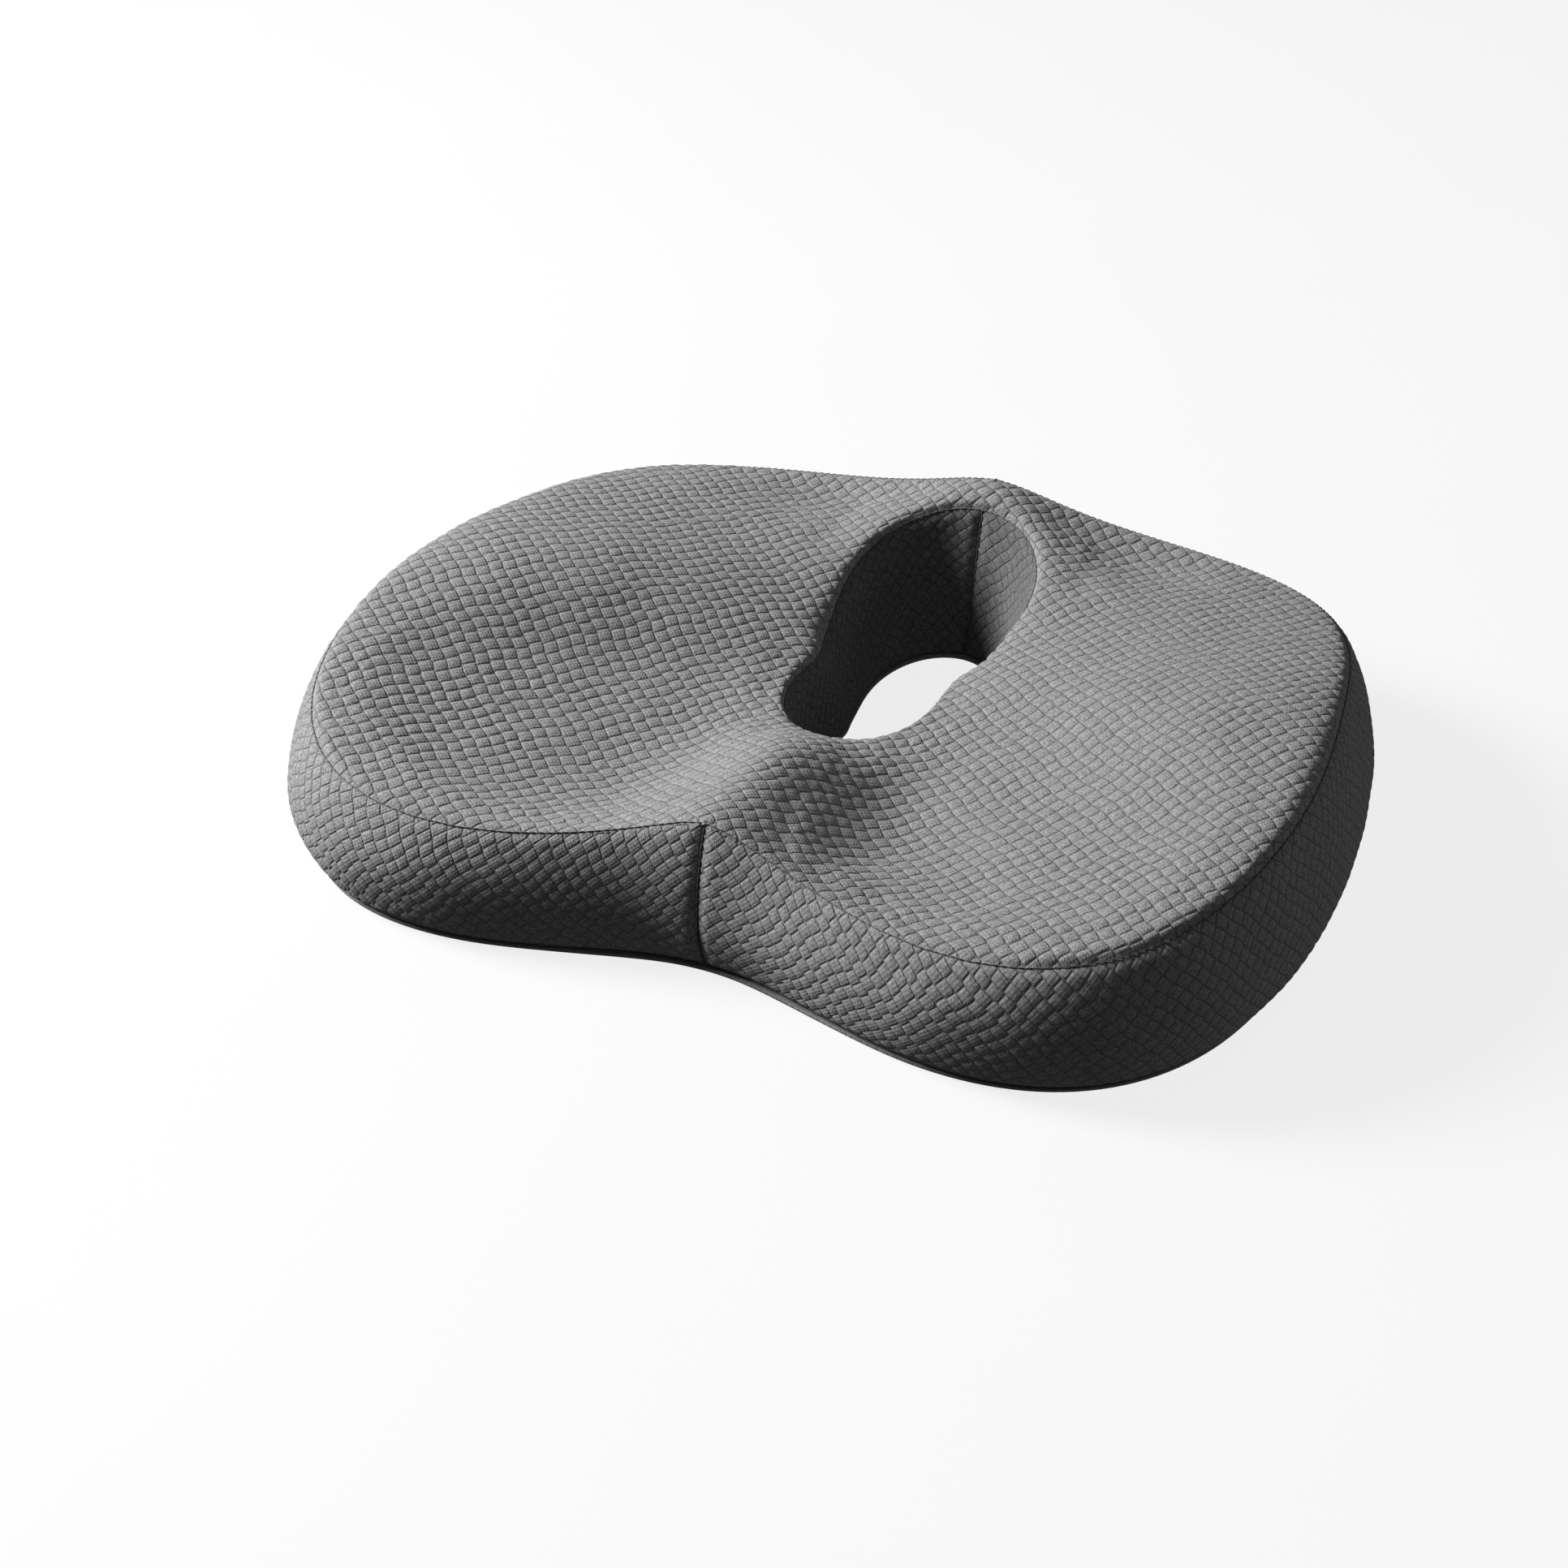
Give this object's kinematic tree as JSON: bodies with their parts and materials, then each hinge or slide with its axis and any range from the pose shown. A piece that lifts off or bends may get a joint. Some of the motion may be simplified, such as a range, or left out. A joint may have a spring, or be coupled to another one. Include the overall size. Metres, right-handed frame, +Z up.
{
  "type": "seat cushion",
  "caption": "Contoured foam seat cushion with two thigh hollows, a tailbone relief hole, a seamed knit cover and a zipped anti-slip base",
  "frame": {"origin": "centre of the underside, on the surface that the cushion rests on", "axes": "+X to the sitter's left-right, the longest side; -Y is the thigh side with the notch, +Y the backrest side; +Z up"},
  "size_m": [0.4598, 0.3598, 0.0844],
  "materials": {
    "memory_foam": "open-cell polyurethane memory foam, matte",
    "seat_knit": "grey air-layer waffle knit, matte",
    "band_knit": "grey air-layer waffle knit, cut on the bias, matte",
    "sleeve_knit": "grey air-layer waffle knit, matte",
    "grip_base": "dark woven base cloth with raised silicone grip dots",
    "zip_tape": "woven polyester zip tape",
    "zip_coil": "moulded nylon coil",
    "zip_metal": "dark enamelled zinc alloy, worn at the edges"
  },
  "bodies": {
    "cushion": {"foam_core": "memory_foam", "top_panel": "seat_knit", "side_band_left": "band_knit", "side_band_right": "band_knit", "hole_sleeve": "sleeve_knit", "base_panel_front": "grip_base", "base_panel_rear": "grip_base", "zipper_tape_front": "zip_tape", "zipper_tape_rear": "zip_tape", "zipper_coil_front": "zip_coil", "zipper_coil_rear": "zip_coil", "zipper_stop_left": "zip_metal", "zipper_stop_right": "zip_metal"},
    "slider": {"zipper_slider": "zip_metal"},
    "pull_tab": {"zipper_pull_tab": "zip_metal"}
  },
  "joints": [
    {"name": "zip_slide", "type": "slide", "parent": "cushion", "child": "slider", "axis": [-1, 0, 0], "range_m": [0, 0.328]},
    {"name": "pull_tab_hinge", "type": "hinge", "parent": "slider", "child": "pull_tab", "pos_m": [0.1642, -0.06, 0.00205], "axis": [0, -1, 0], "range_deg": [0, 175]}
  ]
}
